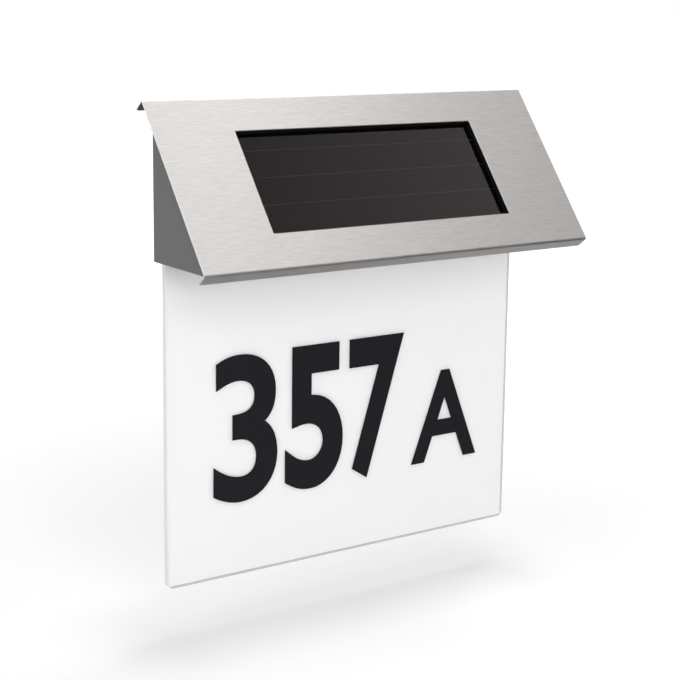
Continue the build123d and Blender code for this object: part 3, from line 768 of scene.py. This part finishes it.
def graded_for_gloss(tree):
    """White, but for gloss a narrow strip overhead is grey, and pales towards the right."""
    split = tree.nodes.new("ShaderNodeSeparateXYZ")
    tree.links.new(tree.nodes.new("ShaderNodeTexCoord").outputs["Generated"], split.inputs[0])
    tone = remap(tree, split.outputs["X"], strip_tone)
    lean = maths(tree, "DIVIDE", split.outputs["Y"], split.outputs["Z"])
    in_strip = maths(tree, "COMPARE", lean, strip_lean, strip_half_width)
    is_gloss = tree.nodes.new("ShaderNodeLightPath").outputs["Is Glossy Ray"]
    grey = tree.nodes.new("ShaderNodeCombineColor")
    less = maths(tree, "MULTIPLY", tone, strip_warmth)
    for channel, value in (("Red", tone), ("Green", less), ("Blue", less)):
        tree.links.new(value, grey.inputs[channel])
    return blend_colours(tree, maths(tree, "MULTIPLY", in_strip, is_gloss), white, grey.outputs[0])


around.links.new(graded_for_gloss(around), sky.inputs["Color"])
print("strip at a lean of", strip_lean, "give or take", strip_half_width)

# %% [markdown]
# ## The floor
#
# The floor lies a little below the sign, so that a soft shadow tells where it is. White paper
# under these lamps would come out light grey, so the paper glows a little for the rays that see
# it. The glow grows with the distance from the sign, and lights nothing. Near the sign it is
# weak, which keeps the shadow.

# %% Paper floor
floor_height, floor_size = -0.200, 8.0
glow = {"From Min": 0.25, "From Max": 0.8, "To Min": 0.26, "To Max": 0.75}

paper, paper_tree, paper_shader, paper_place = new_finish("white_paper", {
    "Base Color": (0.72, 0.72, 0.72, 1),
    "Roughness": 1.0,
    "Emission Color": (1, 1, 1, 1),
    **no_shine,
})
from_sign = paper_tree.nodes.new("ShaderNodeVectorMath")
from_sign.operation = "LENGTH"
paper_tree.links.new(paper_place, from_sign.inputs[0])
lift = remap(paper_tree, from_sign.outputs["Value"], glow)
shown = maths(paper_tree, "MULTIPLY", lift, seen_directly(paper_tree))
paper_tree.links.new(shown, paper_shader.inputs["Emission Strength"])

floor_shape = bmesh.new()
bmesh.ops.create_grid(floor_shape, x_segments=1, y_segments=1, size=floor_size)
bmesh.ops.translate(floor_shape, verts=floor_shape.verts, vec=(0, 0, floor_height))
floor = new_object("floor", floor_shape, paper)

# %% [markdown]
# ## The lamps
#
# The key lamp and the front lamp light the plate from the left front. The steel lamp stands high
# behind on the right and gives the hood its streak, and the edge lamp lights the plastic side. The
# top lamp hangs far above and throws the soft shadow under the sign. It is kept out of
# reflections, so that it changes nothing on the steel. None of them shows through the panel's
# cover. Each line gives a place, the point aimed at, the size and the strength.

# %% Soft lamps
def soft_lamp(name, place, aim, size, watts, glossy=True):
    lamp = bpy.data.lights.new(name, "AREA")
    lamp.shape = "SQUARE"
    lamp.size = size
    lamp.energy = watts
    holder = bpy.data.objects.new(name, lamp)
    holder.location = place
    holder.rotation_euler = (Vector(aim) - Vector(place)).to_track_quat("-Z", "Y").to_euler()
    holder.visible_transmission = False
    holder.visible_glossy = glossy
    scene.collection.objects.link(holder)
    print(name, watts, "W")


soft_lamp("key_lamp", (-0.35, -1.0, 0.42), (-0.05, -0.03, -0.05), 0.5, 3.2)
soft_lamp("steel_lamp", (0.53, 0.16, 1.05), (0.0, -0.03, 0.0), 0.35, 2.4)
soft_lamp("front_lamp", (-0.1, -1.1, 0.05), (0.0, 0.0, -0.06), 0.4, 3.2)
soft_lamp("edge_lamp", (-0.80, -0.22, 0.58), (-0.1, -0.03, 0.0), 0.3, 1.2)
soft_lamp("top_lamp", (0.12, -0.30, 3.0), (-0.02, -0.03, 0.0), 0.60, 22.0, glossy=False)

# %% [markdown]
# ## Dark cards
#
# A photographer sets dark boards beside steel, so that it has something to mirror and its edges
# stand out. One stands on the right, one in front, and one lies on the floor in front of the sign
# and darkens the lower flange. They only show in reflections. The one on the right is a mid grey,
# because from the left side the whole slope mirrors it.

# %% Cards beside the sign
def dark_card(name, corner, along, upward, grey=0.02):
    """A dark board that only shows in reflections, as a photographer sets beside steel."""
    along, upward = Vector(along), Vector(upward)
    placed = Matrix((along, upward, along.cross(upward))).transposed().to_4x4()
    placed.translation = Vector(corner) + (along + upward) / 2
    shape = bmesh.new()
    bmesh.ops.create_grid(shape, x_segments=1, y_segments=1, size=0.5, matrix=placed)
    card_grey = new_finish(name, {"Base Color": (grey, grey, grey, 1), "Roughness": 1.0})[0]
    card = new_object(name, shape, card_grey)
    card.visible_camera = card.visible_diffuse = False
    card.visible_shadow = card.visible_transmission = False


dark_card("card_right", (0.95, -1.6, -0.19), (0, 2.6, 0), (0, 0, 0.75), grey=0.25)
dark_card("card_front", (-0.6, -1.5, -0.19), (3.0, 0, 0), (0, 0, 0.5))
dark_card("card_low", (-0.6, -1.5, -0.195), (3.0, 0, 0), (0, 1.44, 0))

# %% [markdown]
# ## The camera
#
# The photograph was taken from the front left, a little above the sign. The camera's place, turn
# and lens were worked out from the edges of the steel sheet, its window and the plate, and are
# written here as they came out.

# %% Camera
yaw, pitch, roll = 0.605666, -0.188867, 0.012116
ahead = Vector((sin(yaw) * cos(pitch), cos(yaw) * cos(pitch), sin(pitch)))
level_right = Vector((cos(yaw), -sin(yaw), 0))
level_up = level_right.cross(ahead)
right = cos(roll) * level_right + sin(roll) * level_up
up = -sin(roll) * level_right + cos(roll) * level_up
camera_data = bpy.data.cameras.new("camera")
camera_data.sensor_width = 36
camera_data.lens = 84.4987
camera_data.shift_y = -0.0588
camera = bpy.data.objects.new("camera", camera_data)
camera.matrix_world = Matrix((right, up, -ahead)).transposed().to_4x4()
camera.location = (-0.402234, -0.585037, 0.072626)
scene.collection.objects.link(camera)
scene.camera = camera
scene.view_settings.view_transform = "Standard"
print("the camera stands", round(camera.location.length, 3), "m from the origin")
